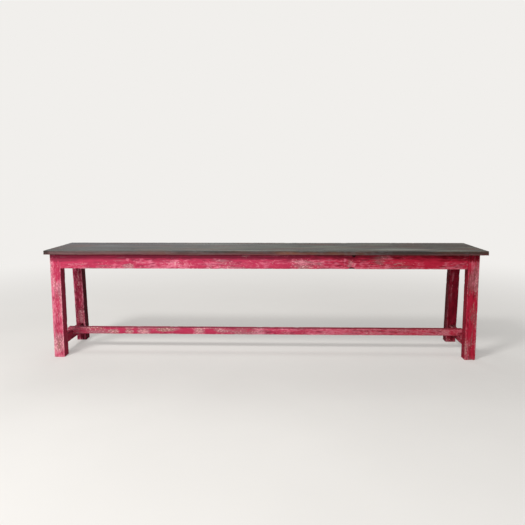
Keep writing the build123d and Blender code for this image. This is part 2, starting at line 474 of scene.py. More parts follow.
def ageing_tree() -> NodeTree:
    """The tree that turns a sharp board into a worn one, always inwards from the board's own box.

    Returns:
        The geometry tree.
    """
    inputs = {"Geometry": "Geometry", "Low corner": "Vector", "High corner": "Vector"}
    inputs |= numbers("Rounding", "Chips", "Ripple", "Unevenness", "Rake", "Rake top")
    inputs["Finish"] = "Material"
    tree = new_tree("aged board", Shape.GEOMETRY, inputs, {"Geometry": "Geometry"})
    w, given = tree.writer, tree.given
    place = w.get("GeometryNodeInputPosition", {})
    low, high = given["Low corner"], given["High corner"]
    grain = w.marked(Mark.GRAIN_AT, "FLOAT_VECTOR")
    crisp = w.marked(Mark.CRISP)
    soft = 1.0 - crisp

    x, y, z = w.split(w.least(place - low, high - place))
    arris = x + y + z - w.least(x, y, z) - w.most(x, y, z)

    def outward(radius: Term) -> tuple[Value, Value]:
        """Splits the way to each point in two, at the face of a core inside the board.

        Args:
            radius: How far inside the board the core's faces lie.

        Returns:
            The core's nearest point, and the way from there to a surface rounded by that radius.
        """
        inset = w.joined(radius, radius, radius)
        core = w.least(w.most(place, low + inset), high - inset)
        offset = place - core
        reach = w.most(*w.split(w.calc("ABSOLUTE", offset)))
        return core, w.calc("NORMALIZE", offset) * reach

    uneven = w.ramp(w.noise(grain, (7.0, 9.0, 9.0), 3.0), 0.3, 0.7, 0.5, 1.9)
    core, out = outward(given["Rounding"] * w.between(soft, 0.2, uneven))
    _, slope = outward(SLOPE_DEPTH)

    splinter = w.ramp(w.noise(grain, (38.0, 130.0, 130.0), 3.0), 0.53, 0.66)
    chip = w.ramp(arris, 0.0, CHIP_REACH, 1.0, 0.0) * soft * splinter
    furrow = w.ramp(w.noise(grain, (2.0, 55.0, 55.0)), 0.4, 0.75)
    hollow = w.ramp(w.noise(place, (3.0, 9.0, 9.0)), 0.42, 0.75)
    depth = chip * given["Chips"] + furrow * given["Ripple"] + hollow * given["Unevenness"]
    depth += w.marked(Mark.SCAR)
    x, y, z = w.split(core + out - slope * (depth / SLOPE_DEPTH))
    back = given["Rake"] * ((given["Rake top"] - z) / given["Rake top"]) * w.marked(Mark.LEAN)

    shape = w.stored(given["Geometry"], Mark.ARRIS, arris + crisp * CRISP_ARRIS)
    shape = w.stored(shape, Mark.CHIP, chip)
    moved = {"Geometry": shape, "Position": w.joined(x, y + back, z)}
    shape = w.get("GeometryNodeSetPosition", moved)
    shape = w.get("GeometryNodeSetShadeSmooth", {0: shape, "Shade Smooth": True})
    return tree.finished_piece(shape)


def fixing_tree() -> NodeTree:
    """The tree that puts a peg or a nail, its top outermost, at each point, turned at random.

    Returns:
        The geometry tree.
    """
    inputs = {"Geometry": "Geometry", "Sides": "Int", "Seed": "Int", "Finish": "Material"}
    inputs |= numbers("Shank", "Length", "Head", "Head height", "Crown", "Proud")
    tree = new_tree("driven fixing", Shape.GEOMETRY, inputs, {"Geometry": "Geometry"})
    w, given = tree.writer, tree.given
    length, head, head_height = given["Length"], given["Head"], given["Head height"]

    sizes = {"Vertices": given["Sides"], "Radius": head, "Depth": length}
    sizes |= {"Side Segments": 3, "Fill Segments": 3}
    rod = w.get("GeometryNodeMeshCylinder", sizes)
    x, y, z = w.split(w.get("GeometryNodeInputPosition", {}))
    down = 0.5 - z / length
    below_top, below_head, at_tip = (w.calc("GREATER_THAN", down, share) for share in RINGS_DOWN)
    narrow = w.between(below_head, 1.0, given["Shank"] / head)
    fall = w.calc("POWER", w.calc("SQRT", x * x + y * y) / head, CROWN_POWER)
    dome = given["Proud"] - fall * given["Crown"]
    depth = below_top * head_height + below_head * NECK + at_tip * (length - head_height - NECK)
    shaped = w.joined(x * narrow, y * narrow, dome * (1.0 - below_top) - depth)
    driven = w.get("GeometryNodeSetPosition", {"Geometry": rod, "Position": shaped})

    aim = w.marked(Mark.AIM, "FLOAT_VECTOR")
    facing = w.get("FunctionNodeAlignRotationToVector", {"Vector": aim}, axis="Z")
    inputs = {"Points": given["Geometry"], "Instance": driven, "Rotation": facing}
    shape = w.get("GeometryNodeInstanceOnPoints", inputs)
    full_turn = {1: (0.0, 0.0, math.tau), "Seed": given["Seed"]}
    turn = w.get("FunctionNodeRandomValue", full_turn, data_type="FLOAT_VECTOR")
    inputs = {"Instances": shape, "Rotation": turn, "Local Space": True}
    shape = w.get("GeometryNodeRotateInstances", inputs)
    shape = w.get("GeometryNodeRealizeInstances", {"Geometry": shape})
    shape = w.stored(shape, Mark.ARRIS, FIXING_ARRIS)
    where = w.get("GeometryNodeInputPosition", {})
    return tree.finished_piece(w.stored(shape, Mark.GRAIN_AT, where, "FLOAT_VECTOR"))


# ---- boards and fixings ----


@dataclass(frozen=True)
class Wear:
    """How worn a board is: its arrises' radius, and how deep its chips, furrows and hollows go."""

    rounding: float
    chips: float
    ripple: float
    unevenness: float


@dataclass(frozen=True)
class Block:
    """An upright box, such as the wood that a mortise takes out."""

    low: Point
    high: Point

    def in_row(self, is_back: bool) -> "Block":
        """The same box of a front leg as it lies in a leg of its own row, before the rake.

        Args:
            is_back: Whether the leg stands at the back.

        Returns:
            The box itself, or its mirror image in the frame's middle.
        """
        if not is_back:
            return self
        middle = FRAME_FRONT + FRAME_BACK
        low, high = self.low, self.high
        return Block((low[0], middle - high[1], low[2]), (high[0], middle - low[1], high[2]))


@dataclass(frozen=True)
class Scar:
    """A worn or damaged spot: an ellipsoid about a point of the board's surface."""

    at: Point
    reach: Point
    depth: float
    bare: float
    pale: float

    def levels(self) -> dict[Mark, Span]:
        """What each mark reaches at the spot's middle, and how steeply it rises from the rim.

        Returns:
            Both numbers, by mark.
        """
        return {
            Mark.SCAR: (self.depth, DENT_RISE),
            Mark.BARE: (self.bare, SHADE_RISE),
            Mark.PALE: (self.pale, SHADE_RISE),
        }


@dataclass(frozen=True)
class Board:
    """A board in its box, with its cuts, as it is before the rake of the back legs leans it.

    The box of a rail takes in its tenons. A rail that runs on has no rounded arrises at its ends.
    """

    node: str
    low: Point
    high: Point
    grain: Axis
    wear: Wear
    cuts: tuple[Block, ...] = ()
    scars: tuple[Scar, ...] = ()
    crisp: tuple[Block, ...] = ()
    runs_on: bool = False
    lean: Span = UPRIGHT
    heart: Span = (0.03, -0.09)
    step: float = 0.0028

    def ticks(self, axis: int) -> np.ndarray:
        """Where the mesh has its rows of points along one axis: close at the ends, and at each cut.

        Args:
            axis: The axis's number.

        Returns:
            The places of the rows, in order.
        """
        rim = np.array(RIM)
        length = self.high[axis] - self.low[axis]
        step = self.step * (ALONG_GRAIN if axis == self.grain.value else 1.0)
        count = max(2, round((length - 2 * rim[-1]) / step) + 1)
        middle = np.linspace(rim[-1], length - rim[-1], count)
        rows = self.low[axis] + np.concatenate([rim[:-1], middle, (length - rim[:-1])[::-1]])
        edges = {round(edge[axis], 6) for cut in self.cuts for edge in (cut.low, cut.high)}
        inner = [edge for edge in edges if rows[0] + SAME_PLACE < edge < rows[-1] - SAME_PLACE]
        for edge in inner:
            rows = rows[(abs(rows - edge) > NEAREST_ROW) | (rows == rows[0]) | (rows == rows[-1])]
        return np.sort(np.concatenate([rows, inner]))

    def lattice(self) -> tuple[np.ndarray, np.ndarray]:
        """The skin of the board's wood, with its cuts taken out.

        Returns:
            The points, and the numbers of each four-sided face's points in outward order.
        """
        rows = [self.ticks(axis) for axis in range(3)]
        centres = [(row[:-1] + row[1:]) / 2 for row in rows]
        wood = np.ones([len(row) for row in centres], bool)
        for cut in self.cuts:
            within = [(row > a) & (row < b) for row, a, b in zip(centres, cut.low, cut.high)]
            wood[np.ix_(*within)] = False
        wood = np.pad(wood, 1)
        number = np.arange(math.prod(len(row) for row in rows)).reshape([len(row) for row in rows])
        faces = []
        for axis in range(3):
            cells = np.moveaxis(wood, axis, 0)[:, 1:-1, 1:-1]
            grid = np.moveaxis(number, axis, 0)
            corners = (grid[:, :-1, :-1], grid[:, 1:, :-1], grid[:, 1:, 1:], grid[:, :-1, 1:])
            quad = np.stack(corners, axis=-1)
            for outward in (True, False):
                inside, outside = (cells[:-1], cells[1:]) if outward else (cells[1:], cells[:-1])
                found = quad[inside & ~outside]
                faces.append(found if outward != (axis == Axis.Y.value) else found[:, ::-1])
        used, faces = np.unique(np.concatenate(faces), return_inverse=True)
        spots = np.unravel_index(used, number.shape)
        points = np.stack([rows[axis][spots[axis]] for axis in range(3)], axis=1)
        return points, faces.reshape(-1, 4)

    def grain_place(self, points: np.ndarray) -> np.ndarray:
        """Places points in the tree that the board was sawn from.

        Args:
            points: The mesh's points.

        Returns:
            Each point's place along the grain, and across and through it from the tree's heart.
        """
        along = self.grain.value
        across = [axis for axis in (1, 0, 2) if axis != along]
        place = points[:, [along, *across]].copy()
        place[:, 0] += TREE_SHIFT * SEEDS[self.node]
        for column, axis, offset in zip((1, 2), across, self.heart):
            place[:, column] -= (self.low[axis] + self.high[axis]) / 2 + offset
        return place

    def marks(self, points: np.ndarray) -> dict[Mark, np.ndarray]:
        """Works out the board's attributes, from its scars, its joints, its lean and its grain.

        Args:
            points: The mesh's points.

        Returns:
            A number or a vector for each point, by attribute.
        """
        counted = (Mark.SCAR, Mark.BARE, Mark.PALE, Mark.CRISP)
        found = {mark: np.zeros(len(points)) for mark in counted}
        for scar in self.scars:
            away = np.linalg.norm((points - scar.at) / scar.reach, axis=1)
            inside = np.clip(1.0 - away, 0.0, 1.0)
            for mark, (value, rise) in scar.levels().items():
                found[mark] += value * np.clip(rise * inside, 0.0, 1.0)
        for joint in self.crisp:
            over = np.maximum(joint.low - points, points - joint.high).max(axis=1)
            near = np.clip(1.0 - over / JOINT_RIM, 0.0, 1.0)
            found[Mark.CRISP] = np.maximum(found[Mark.CRISP], near)
        start, full = self.lean
        found[Mark.LEAN] = np.clip((points[:, 1] - start) / (full - start), 0.0, 1.0)
        found[Mark.GRAIN_AT] = self.grain_place(points)
        return found

    def build(self, tree: NodeTree, finish: Material) -> Mesh:
        """Makes the board's mesh and wears it.

        Args:
            tree: The geometry tree that ages a board.
            finish: The board's finish.

        Returns:
            The finished mesh.
        """
        points, faces = self.lattice()
        past = [RUN_ON if self.runs_on and axis == self.grain.value else 0.0 for axis in range(3)]
        sizes = asdict(self.wear) | {"rake": FEET_RAKE, "rake_top": FRAME_TOP, "finish": finish}
        sizes["low_corner"] = tuple(a - b for a, b in zip(self.low, past))
        sizes["high_corner"] = tuple(a + b for a, b in zip(self.high, past))
        return grown(tree, points.tolist(), faces.tolist(), self.marks(points), **sizes)


@dataclass(frozen=True)
class Form:
    """The shape of a peg or a nail: its radii, and how its head stands, domes and stands proud."""

    shank: float
    head: float
    head_height: float
    crown: float
    proud: float
    sides: int


PEG = Form(PEG_RADIUS, PEG_RADIUS, 0.002, 0.0004, 0.0003, 8)
NAIL = Form(0.0015, 0.004, 0.0015, 0.0005, 0.0, 10)
UP = (0.0, 0.0, 1.0)


@dataclass(frozen=True)
class Fixings:
    """A set of pegs or nails of one size, each with the middle of its top and the way it faces."""

    node: str
    form: Form
    places: list[tuple[Point, Point]]
    length: float

    def build(self, tree: NodeTree, finish: Material) -> Mesh:
        """Makes the whole set as one mesh.

        Args:
            tree: The geometry tree that sets a fixing at each point.
            finish: The fixings' finish.

        Returns:
            The finished mesh.
        """
        points, aims = zip(*self.places)
        sizes = asdict(self.form) | {"length": self.length, "finish": finish}
        return grown(tree, points, [], {Mark.AIM: aims}, seed=SEEDS[self.node], **sizes)


# ---- finishes ----


def grain_group() -> NodeTree:
    """The shader group that draws a tree's rings, fibres and pores from a place in the grain.

    Returns:
        The shader group.
    """
    inputs = {"Place": "Vector", "Ring spacing": "Float"}
    outputs = numbers("Rings", "Fibres", "Pores")
    tree = new_tree("wood grain", Shape.SHADER, inputs, outputs)
    w, place = tree.writer, tree.given["Place"]
    _, y, z = w.split(place)
    sway = w.noise(place, (1.3, 12.0, 12.0))
    swayed = w.calc("SQRT", y * y + z * z) + sway * 0.035
    wave = w.calc("SINE", swayed / tree.given["Ring spacing"] * math.tau)
    rings = w.calc("POWER", wave * 0.5 + 0.5, 2.2)
    fibres = w.noise(place, (9.0, 420.0, 420.0), 3.0)
    pores = w.ramp(w.noise(place, (45.0, 1100.0, 1100.0), 1.0), 0.6, 0.7)
    return tree.finished(rings=rings, fibres=fibres, pores=pores)


def wear_group() -> NodeTree:
    """The shader group that says where a finish is dusty, thin, flecked to its ground, or gone.

    Returns:
        The shader group.
    """
    inputs = {"Place": "Vector"} | numbers("Arris", "Reach", "Bare", "Pale")
    outputs = numbers("Dusty", "Thin", "Flecked", "Gone")
    tree = new_tree("wear through", Shape.SHADER, inputs, outputs)
    w, given = tree.writer, tree.given
    place, bare, pale = given["Place"], given["Bare"], given["Pale"]
    inward = given["Arris"] / given["Reach"]
    ragged = w.ramp(w.noise(place, (14.0, 40.0, 40.0), 3.0), 0.36, 0.62)
    edge = w.ramp(inward, 0.05, 1.0, ragged, 0.0)
    rim = w.ramp(inward, 0.2, 2.2, 1.0, 0.0)
    patches = w.noise(place, (4.0, 19.0, 19.0), 3.0)
    elsewhere = w.noise(place, (-6.0, 28.0, -28.0), 3.0)
    streaks = w.noise(place, (9.0, 130.0, 130.0), 4.0)
    speckle = w.noise(place, (55.0, 150.0, 150.0), 3.0)
    flecks = w.noise(place, (120.0, 290.0, 290.0))
    dusty = patches * 0.8 + streaks * 0.8 + speckle * 0.9 + pale * 0.24 + edge * 0.08 + rim * 0.12
    thin = elsewhere - streaks * 0.8 + bare * 0.22 + edge * 0.04
    flecked = flecks + patches * 0.4 + pale * 0.04 + bare * 0.1 + edge * 0.12
    gone = speckle * 0.5 + streaks * 0.9 + bare * 0.13 + edge * 0.05
    return tree.finished(
        dusty=w.ramp(dusty, 1.2, 1.62) * w.ramp(speckle, 0.36, 0.6, 0.5, 1.0),
        thin=w.ramp(thin, 0.15, 0.34),
        flecked=w.ramp(flecked, 0.82, 0.98),
        gone=w.ramp(gone, 0.88, 1.0),
    )


@dataclass(frozen=True)
class Effects:
    """The shader groups that the finishes share, each made once."""

    grain: NodeTree = field(default_factory=grain_group)
    wear: NodeTree = field(default_factory=wear_group)


@dataclass(frozen=True)
class Bumps:
    """The fine relief of a finish: its depth, and how strongly it shows."""

    depth: float
    strength: float


class Coat:
    """A material in the making, with the places and marks that its nodes read."""

    def __init__(self, slot: Slot) -> None:
        """Starts a material that has a plain Principled shader.

        Args:
            slot: The material slot that it is for.
        """
        self.material = bpy.data.materials.new(slot.value)
        self.material.use_nodes = True
        self.writer = NodeWriter(self.material.node_tree)
        self.shader = self.material.node_tree.nodes["Principled BSDF"]
        self.spot = self.writer.outputs(self.writer.add("ShaderNodeTexCoord"))["Object"]
        self.place = self.mark(Mark.GRAIN_AT, "Vector")

    def mark(self, mark: Mark, output: str = "Fac") -> Value:
        """What one of the piece's attributes says."""
        node = self.writer.add("ShaderNodeAttribute", attribute_name=mark.value)
        return self.writer.outputs(node)[output]

    def effect(self, tree: NodeTree, **inputs: Term) -> dict[str, Value]:
        """Places a shared effect in the material, and gives its outputs."""
        named = {label_of(name): value for name, value in inputs.items()}
        return self.writer.outputs(self.writer.add("ShaderNodeGroup", named, node_tree=tree))

    def dress(
        self, colour: Value, roughness: Value, height: Value, bumps: Bumps, gloss: float = 0.5
    ) -> Material:
        """Feeds the shader what the finish varies over the surface.

        Args:
            colour: The surface's colour.
            roughness: Its roughness.
            height: The height of its bumps, as a share of their depth.
            bumps: The bumps' depth and strength.
            gloss: The level of its plain gloss, the same all over.

        Returns:
            The finished material.
        """
        inputs = {"Height": height, "Distance": bumps.depth, "Strength": bumps.strength}
        normal = self.writer.get("ShaderNodeBump", inputs)
        self.shader.inputs["Specular IOR Level"].default_value = gloss
        for label, value in (("Base Color", colour), ("Roughness", roughness), ("Normal", normal)):
            self.writer.feed(self.shader.inputs[label], value)
        return self.material


@dataclass(frozen=True)
class RedPaint:
    """Old crimson paint, streaked along the grain, dusty here and there, worn to ground and wood.

    A pair holds the colours at the bench's left and right, and a span holds the two places between
    which the finish changes.
    """

    slot: Slot = Slot.RED_PAINT
    # Each pair runs from lighter and pinker at the left to deeper at the right: partly the paint's
    # own change, partly painted light falling off from the left.
    paint: Pair = ("C13B5A", "B4243C")
    deep: Pair = ("98324A", "700E1C")
    dust: Pair = ("F08CA4", "CC6E7E")
    thin: Pair = ("A86C76", "864E50")
    ground: Pair = ("F0B2B4", "CE9090")
    wood: str = "AC7A70"
    old_wood: str = "7E4C46"
    # Near-black that paints shadow under the seat and on faces that look up, and darkens deep
    # splits with dirt and shade.
    grime: str = "2E1214"
    # Painted shade: the deep red that the back frame and the faces turned along the bench darken
    # to.
    kept: str = "4A0914"
    reddening: Span = (-0.1, 0.62)
    foot: Span = (0.02, 0.17)
    # Where the band under the seat begins: it wears less there, and its paint deepens as painted
    # shade.
    shelter: Span = (0.408, 0.424)
    left_corner: Span = (-0.83, -0.70)
    right_corner: Span = (0.50, 0.66)
    corner_drop: float = 0.008
    # Heights between which the painted shadow under the seat comes in.
    under_seat: Span = (0.4285, 0.436)
    back_frame: Span = (0.02, 0.09)
    # Scar depths over which splits go near-black, with dirt and painted shade.
    split_depth: Span = (0.0015, 0.0035)
    ring_spacing: float = 0.004
    wear_reach: float = 0.0055
    bumps: Bumps = Bumps(0.0008, 0.55)
    gloss: float = 0.03

    def make(self, effects: Effects) -> Material:
        """Makes the material.

        Args:
            effects: The shared effects.

        Returns:
            The finished material.
        """
        coat = Coat(self.slot)
        w, place = coat.writer, coat.place
        grain = coat.effect(effects.grain, place=place, ring_spacing=self.ring_spacing)
        x, y, z = w.split(coat.spot)
        rightward = w.ramp(x, *self.reddening)
        low = w.ramp(z, *self.foot, 1.0, 0.0)
        corner = w.ramp(x, *self.left_corner, self.corner_drop, 0.0)
        corner += w.ramp(x, *self.right_corner, 0.0, self.corner_drop)
        sheltered_and_shaded = w.ramp(z + corner, *self.shelter)
        facing_x, facing_y, facing_z = w.split(w.outputs(w.add("ShaderNodeNewGeometry"))["Normal"])
        outwards = facing_x * w.calc("SIGN", x)
        aside = w.ramp(outwards, -0.9, -0.5, 1.0, 0.0)
        outside = w.most(w.ramp(outwards, 0.5, 0.9), w.ramp(facing_y, 0.3, 0.8))
        upward = w.ramp(facing_z, 0.3, 0.8)

        bare = coat.mark(Mark.BARE) + coat.mark(Mark.CHIP) * 0.4 + low * 0.1
        # Less bare wood and dust under the seat and on faces turned along the bench or upwards:
        # partly less wear there, partly painted shade that keeps those faces dark.
        bare = bare - sheltered_and_shaded * 0.5 - aside * 0.3 - upward * 0.2
        pale = coat.mark(Mark.PALE) + low * 0.15 - sheltered_and_shaded * 0.8 - aside * 0.7 - upward * 0.9
        worn = {"place": place, "arris": coat.mark(Mark.ARRIS), "reach": self.wear_reach}
        wear = coat.effect(effects.wear, bare=bare, pale=pale, **worn)

        clouds = w.noise(coat.spot, (5.0, 9.0, 9.0), 3.0)
        streaks = w.noise(place, (7.0, 150.0, 150.0), 4.0)
        mottle = w.noise(place, (34.0, 120.0, 120.0), 3.0)
        shade = clouds * 0.5 + streaks * 0.9 + mottle * 0.9
        # Painted shade: the paint deepens in the band under the seat, most at the left, and deeper
        # and lower at both ends.
        shade += sheltered_and_shaded * w.between(rightward, -0.32, -0.04)
        shade -= sheltered_and_shaded * corner * 20.0
        sound = w.ramp(coat.mark(Mark.PALE), -1.0, 0.0, 0.6, 0.0)
        vivid = w.between(sound, w.ramp(shade, 0.86, 1.24), 0.9)
        # Painted shade: the back frame darkens, more on faces turned along the bench and less on
        # faces turned outwards, and the faces turned along the bench also darken towards the
        # bench's right end.
        behind = w.ramp(y, *self.back_frame) * (aside * 0.4 + 0.55 - outside * 0.4)
        behind *= w.ramp(mottle, 0.35, 0.65, 1.15, 0.75)
        # Painted shadow: a dark band along the top of the frame under the seat, weaker towards the
        # right.
        under_seat = w.ramp(z, *self.under_seat) * w.between(rightward, 0.65, 0.22)
        ringed = grain["Rings"] * 0.6 + grain["Fibres"] * 0.5
        colour = w.layered(
            w.blend(vivid, w.blend(rightward, *self.deep), w.blend(rightward, *self.paint)),
            (w.most(behind, aside * rightward * 0.5), self.kept),
            # Painted shade: faces that look up go darker.
            (upward * 0.45, self.grime),
            (wear["Thin"] * 0.8, w.blend(rightward, *self.thin)),
            (wear["Dusty"] * 0.66, w.blend(rightward, *self.dust)),
            (under_seat, self.grime),
            (wear["Gone"] * 0.85, w.blend(ringed, self.wood, self.old_wood)),
            (wear["Flecked"] * 0.8, w.blend(rightward, *self.ground)),
            # Deep splits go near-black: dirt in them, and painted shade.
            (w.ramp(coat.mark(Mark.SCAR), *self.split_depth, 0.0, 0.9), self.grime),
        )
        roughness = w.between(wear["Dusty"], w.ramp(streaks, 0.3, 0.7, 0.58, 0.74), 0.85)
        roughness = w.between(wear["Gone"], roughness, 0.85)
        height = streaks * 0.6 + grain["Fibres"] * 0.35 - wear["Gone"] * 0.9 - wear["Flecked"] * 0.4
        return coat.dress(colour, roughness, height, self.bumps, self.gloss)


@dataclass(frozen=True)
class DarkWood:
    """A dark stained seat, greyed and worn by use, its lower arris red from paint and painted
    bounce.

    The pair holds the edge's colours at the seat's left and right, and a span holds the two places
    between which the finish changes.
    """

    slot: Slot = Slot.DARK_WOOD
    edge: Pair = ("6F5252", "3C2723")
    dark: str = "302F30"
    grey: str = "67676B"
    olive: str = "585B53"
    light: str = "868781"
    brown: str = "7E4A33"
    moss: str = "8C9080"
    stain: str = "2B2622"
    under: str = "6E5540"
    red: str = "7B3A3F"
    darkening: Span = (-0.9, 0.7)
    greening: Span = (0.1, -0.17)
    top: Span = (0.4500, 0.4518)
    underside: Span = (0.4366, 0.4372)
    lower_arris: Span = (0.437, 0.444)
    ring_spacing: float = 0.006
    wear_reach: float = 0.006
    bumps: Bumps = Bumps(0.0008, 0.5)
    gloss: float = 0.2

    def make(self, effects: Effects) -> Material:
        """Makes the material.

        Args:
            effects: The shared effects.

        Returns:
            The finished material.
        """
        coat = Coat(self.slot)
        w, place = coat.writer, coat.place
        grain = coat.effect(effects.grain, place=place, ring_spacing=self.ring_spacing)
        rings, fibres, pores = grain["Rings"], grain["Fibres"], grain["Pores"]
        bare, pale = coat.mark(Mark.BARE), coat.mark(Mark.PALE)
        worn = {"place": place, "arris": coat.mark(Mark.ARRIS), "reach": self.wear_reach}
        wear = coat.effect(effects.wear, bare=bare, pale=pale, **worn)
        x, y, z = w.split(coat.spot)
        rightward = w.ramp(x, *self.darkening)
        top = w.ramp(z, *self.top)
        underside = w.ramp(z, *self.underside, 1.0, 0.0)

        clouds = w.noise(coat.spot, (2.5, 22.0, 40.0), 3.0)
        streaks = w.noise(place, (2.4, 60.0, 60.0), 4.0)
        tint = w.noise(coat.spot, (6.0, 16.0, 16.0), 3.0)
        greyness = clouds * 1.5 + streaks * 1.1 + fibres * 0.3 - rightward * 0.2
        greened = rightward * 0.75 + w.ramp(y, *self.greening) * 0.45 + clouds * 0.8
        greyed = w.blend(w.ramp(greened, 0.3, 1.3), self.grey, self.olive)
        stained = w.ramp(greyness, 0.95, 1.55, 0.45, 0.0)
        mossy = w.ramp(tint, 0.32, 0.5, 0.3, 0.0) + w.ramp(pale, 0.2, 1.0) * 0.25
        # Painted light: red bounced up from the aprons onto the lower arris, together with a little
        # red paint there.
        red_bounce_and_traces = w.ramp(z, *self.lower_arris, 1.0, 0.0) * w.ramp(streaks, 0.35, 0.6, 0.25, 0.8)
        colour = w.layered(
            w.blend(stained, w.blend(rightward, *self.edge), self.stain),
            (top, w.blend(w.ramp(greyness, 0.85, 1.75), self.dark, greyed)),
            (rings * 0.3, self.stain),
            (pores * 0.5, self.stain),
            (w.ramp(bare, 0.0, 1.2) * 0.85, self.brown),
            (w.ramp(pale * 0.35 + streaks * 0.9 + fibres * 0.6, 0.94, 1.3, 0.0, 0.9), self.light),
            (w.ramp(tint, 0.5, 0.68, 0.0, 0.2), self.brown),
            (mossy * top * rightward, self.moss),
            (w.ramp(pale, -1.2, 0.0, 1.0, 0.0) * 0.8, self.stain),
            (wear["Dusty"] * 0.3, self.grey),
            (wear["Thin"] * 0.16, self.brown),
            (wear["Gone"] * 0.5, self.brown),
            (red_bounce_and_traces, self.red),
            (underside, w.blend(rings * 0.5 + fibres * 0.5, self.under, self.stain)),
        )
        roughness = w.between(underside, w.ramp(streaks, 0.3, 0.7, 0.6, 0.8), 0.85)
        height = streaks * 0.5 + fibres * 0.5 - rings * 0.4 - pores * 0.5
        return coat.dress(colour, roughness, height, self.bumps, self.gloss)


@dataclass(frozen=True)
class BareWood:
    """Plain sawn wood that never was painted, browned by age."""

    slot: Slot = Slot.BARE_WOOD
    light: str = "A48560"
    dark: str = "6B4E33"
    ring_spacing: float = 0.005
    bumps: Bumps = Bumps(0.0006, 0.5)

    def make(self, effects: Effects) -> Material:
        """Makes the material.

        Args:
            effects: The shared effects.

        Returns:
            The finished material.
        """
        coat = Coat(self.slot)
        w, place = coat.writer, coat.place
        grain = coat.effect(effects.grain, place=place, ring_spacing=self.ring_spacing)
        rings, fibres = grain["Rings"], grain["Fibres"]
        clouds = w.noise(place, (3.0, 20.0, 20.0), 3.0)
        sawn = w.noise(place, (260.0, 14.0, 14.0), 1.0)
        darkness = w.ramp(rings * 0.45 + fibres * 0.4 + clouds * 0.35, 0.2, 0.95)
        colour = w.blend(darkness, self.light, self.dark)
        height = sawn * 0.6 + fibres * 0.5 - rings * 0.3
        return coat.dress(colour, w.ramp(clouds, 0.3, 0.7, 0.7, 0.88), height, self.bumps)


@dataclass(frozen=True)
class Iron:
    """Forged iron, dark and lightly rusted."""

    slot: Slot = Slot.IRON
    dark: str = "2E2A28"
    rust: str = "5C3A28"
    bumps: Bumps = Bumps(0.0003, 0.5)

    def make(self, effects: Effects) -> Material:
        """Makes the material.

        Args:
            effects: The shared effects, none of which iron needs.

        Returns:
            The finished material.
        """
        coat = Coat(self.slot)
        w = coat.writer
        scale = w.noise(coat.spot, (900.0, 900.0, 900.0), 3.0)
        rusty = w.ramp(scale, 0.45, 0.65)
        w.feed(coat.shader.inputs["Metallic"], w.between(rusty, 0.85, 0.1))
        colour = w.blend(rusty, self.dark, self.rust)
        return coat.dress(colour, w.between(rusty, 0.45, 0.85), scale, self.bumps)


@dataclass(frozen=True)
class Shop:
    """What every sub-assembly is made with: the shaping trees and the finishes."""

    trees: dict[type, NodeTree]
    finishes: dict[Slot, Material]

    @classmethod
    def open(cls) -> "Shop":
        """Makes the trees and the finishes.

        Returns:
            The shop.
        """
        effects = Effects()
        kinds = (RedPaint(), DarkWood(), BareWood(), Iron())
        finishes = {kind.slot: kind.make(effects) for kind in kinds}
        return cls({Board: ageing_tree(), Fixings: fixing_tree()}, finishes)

    def make(self, part: Board | Fixings, slot: Slot = Slot.RED_PAINT) -> None:
        """Builds a piece in place of its node, riding on the bench.

        Args:
            part: The board or the set of fixings.
            slot: The record's material slot, which also says which finish it gets.
        """
        mesh = part.build(self.trees[type(part)], self.finishes[slot])
        mesh.name = "old_" + part.node
        piece = placed(mesh.name, mesh)
        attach(piece, BODY)
        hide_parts(part.node)
        LOG.info("%s: %d faces, %s", piece.name, len(mesh.polygons), slot.value)


# ---- sub-assemblies ----


@dataclass(frozen=True)
class End:
    """One end of the bench, and where its legs stand."""

    name: str
    side: int

    def box(self, piece: str) -> tuple[Vector, Vector]:
        """The corners of one of this end's pieces."""
        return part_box(f"{self.name}_{piece}")

    def leg_box(self) -> tuple[Vector, Vector]:
        """The corners of the front leg."""
        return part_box(f"front_{self.name}_leg")

    @property
    def outer(self) -> float:
        """Where the outward faces of the legs lie."""
        return self.leg_box()[1 if self.side > 0 else 0].x

    @property
    def inner(self) -> float:
        """Where the faces of the legs that look along the bench lie."""
        return self.leg_box()[0 if self.side > 0 else 1].x

    @property
    def width(self) -> float:
        """The legs' width."""
        return abs(self.outer - self.inner)

    @property
    def depth(self) -> float:
        """How deep the legs are from front to back."""
        low, high = self.leg_box()
        return high.y - low.y

    def span(self, one: float, other: float) -> Span:
        """Two places in order along X, each so far inside the legs' outward faces."""
        ends = (self.outer - self.side * one, self.outer - self.side * other)
        return min(ends), max(ends)


ENDS = (End("left", -1), End("right", 1))


def middle_of(box: tuple[Vector, Vector]) -> Vector:
    """The middle of a box."""
    return (box[0] + box[1]) / 2


def rake_at(height: float) -> float:
    """How far the back frame stands, at this height, behind its place under the seat."""
    return FEET_RAKE * (FRAME_TOP - height) / FRAME_TOP


def shoulders(rail: Block, axis: Axis, ends: Span, cheek: float) -> list[Block]:
    """The wood that comes off round a tenon at each end of a rail.

    Args:
        rail: The box of the rail with its tenons.
        axis: The axis along which the rail runs, X or Y.
        ends: Where its two shoulders lie along that axis.
        cheek: How far each cheek of the tenon lies inside the rail's face.

    Returns:
        Four blocks for each end.
    """
    along = axis.value
    across = Axis.Y.value if axis == Axis.X else Axis.X.value
    blocks = []
    for start, stop in ((rail.low[along], ends[0]), (ends[1], rail.high[along])):
        for side, depth in ((across, cheek), (Axis.Z.value, TENON_SHOULDER)):
            for upper in (False, True):
                near, far = list(rail.low), list(rail.high)
                near[along], far[along] = start, stop
                if upper:
                    near[side] = rail.high[side] - depth
                else:
                    far[side] = rail.low[side] + depth
                blocks.append(Block(tuple(near), tuple(far)))
    return blocks


